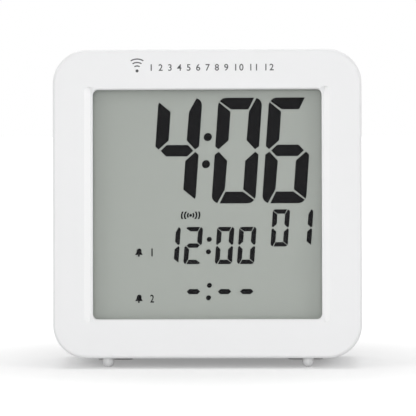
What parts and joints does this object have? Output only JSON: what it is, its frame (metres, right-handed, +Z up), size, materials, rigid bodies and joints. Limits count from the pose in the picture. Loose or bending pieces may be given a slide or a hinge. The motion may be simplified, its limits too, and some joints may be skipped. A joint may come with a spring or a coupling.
{
  "type": "radio-controlled alarm clock",
  "caption": "Square desk alarm clock with an LCD window, a snooze bar on top, keys, an alarm switch and a battery door behind, leaning back on pins and rubber pads.",
  "frame": {"origin": "middle of the base, on the surface that the clock stands on", "axes": "+Z up, the face looks to -Y and leans back by 4 degrees, +X is to the right seen from the front"},
  "size_m": [0.085, 0.0416, 0.0876],
  "materials": {
    "case_front": "pearl white, satin",
    "case_rear": "white, fine spark-eroded texture",
    "snooze": "white, satin",
    "clear_plastic": "clear, polished",
    "polariser": "clear film",
    "display_glass": "clear, polished",
    "reflector": "grey-green film, matte",
    "inner_plastic": "natural, moulded",
    "led": "milky epoxy",
    "contact_rubber": "layered rubber",
    "circuit_board": "green solder mask",
    "epoxy": "black epoxy",
    "steel": "nickel plated",
    "ferrite": "dark sintered",
    "copper_winding": "enamelled wire",
    "black_plastic": "black, fine texture",
    "switch_stem": "natural",
    "key_plastic": "grey, satin",
    "silicone": "grey silicone, matte",
    "brass_disc": "bright",
    "ceramic": "silvered ceramic",
    "cell_jacket": "plain printed jacket",
    "foot_pin": "light grey, satin",
    "rubber_pad": "black, matte",
    "red_lead": "red insulation",
    "black_lead": "black insulation",
    "ribbon": "grey insulation"
  },
  "bodies": {
    "case": {"front_case": "case_front", "rear_case": "case_rear", "window_lens": "clear_plastic", "light_guide": "clear_plastic", "lcd_front_polariser": "polariser", "lcd_front_glass": "display_glass", "lcd_rear_glass": "display_glass", "lcd_reflector": "reflector", "lcd_holder": "inner_plastic", "antenna_clip_left": "inner_plastic", "antenna_clip_right": "inner_plastic", "backlight_led": "led", "zebra_strip_top": "contact_rubber", "zebra_strip_bottom": "contact_rubber", "main_board": "circuit_board", "snooze_board": "circuit_board", "key_board": "circuit_board", "receiver_board": "circuit_board", "chip_blob": "epoxy", "clock_crystal": "steel", "antenna_rod": "ferrite", "antenna_coil": "copper_winding", "snooze_switch_body": "black_plastic", "snooze_spring_left": "steel", "snooze_spring_right": "steel", "keypad_mat": "silicone", "alarm_switch_body": "steel", "buzzer_disc": "brass_disc", "buzzer_ceramic": "ceramic", "battery_upper": "cell_jacket", "battery_lower": "cell_jacket", "negative_contact": "steel", "positive_contact": "steel", "bridge_contact": "steel", "foot_pin_left": "foot_pin", "foot_pin_right": "foot_pin", "rear_foot_left": "rubber_pad", "rear_foot_right": "rubber_pad", "positive_lead": "red_lead", "negative_lead": "black_lead", "key_ribbon": "ribbon", "key_board_screw_left": "steel", "key_board_screw_right": "steel", "case_screw_top_left": "steel", "board_screw_top_left": "steel", "case_screw_top_right": "steel", "board_screw_top_right": "steel", "case_screw_bottom_left": "steel", "board_screw_bottom_left": "steel", "case_screw_bottom_right": "steel", "board_screw_bottom_right": "steel"},
    "snooze": {"snooze_button": "snooze", "snooze_switch_stem": "switch_stem"},
    "key_1": {"key_1": "key_plastic"},
    "key_2": {"key_2": "key_plastic"},
    "key_3": {"key_3": "key_plastic"},
    "key_4": {"key_4": "key_plastic"},
    "key_5": {"key_5": "key_plastic"},
    "alarm_switch": {"alarm_switch_knob": "black_plastic"},
    "battery_door": {"battery_door": "case_rear"}
  },
  "joints": [
    {"name": "snooze_press", "type": "slide", "parent": "case", "child": "snooze", "axis": [0, -0.07, -0.9975], "range_m": [0, 0.001], "stiffness_N_per_m": 800, "springref_m": -0.001, "deforming": ["snooze_spring_left", "snooze_spring_right"]},
    {"name": "key_1_press", "type": "slide", "parent": "case", "child": "key_1", "axis": [0, -0.9975, 0.07], "range_m": [0, 0.0006], "stiffness_N_per_m": 1500, "springref_m": -0.0005, "deforming": ["keypad_mat"]},
    {"name": "key_2_press", "type": "slide", "parent": "case", "child": "key_2", "axis": [0, -0.9975, 0.07], "range_m": [0, 0.0006], "stiffness_N_per_m": 1500, "springref_m": -0.0005, "deforming": ["keypad_mat"]},
    {"name": "key_3_press", "type": "slide", "parent": "case", "child": "key_3", "axis": [0, -0.9975, 0.07], "range_m": [0, 0.0006], "stiffness_N_per_m": 1500, "springref_m": -0.0005, "deforming": ["keypad_mat"]},
    {"name": "key_4_press", "type": "slide", "parent": "case", "child": "key_4", "axis": [0, -0.9975, 0.07], "range_m": [0, 0.0006], "stiffness_N_per_m": 1500, "springref_m": -0.0005, "deforming": ["keypad_mat"]},
    {"name": "key_5_press", "type": "slide", "parent": "case", "child": "key_5", "axis": [0, -0.9975, 0.07], "range_m": [0, 0.0006], "stiffness_N_per_m": 1500, "springref_m": -0.0005, "deforming": ["keypad_mat"]},
    {"name": "alarm_slide", "type": "slide", "parent": "case", "child": "alarm_switch", "axis": [1, 0, 0], "range_m": [0, 0.0035]},
    {"name": "battery_door_hinge", "type": "hinge", "parent": "case", "child": "battery_door", "pos_m": [0, 0.01584, 0.01201], "axis": [-1, 0, 0], "range_deg": [0, 75]}
  ]
}
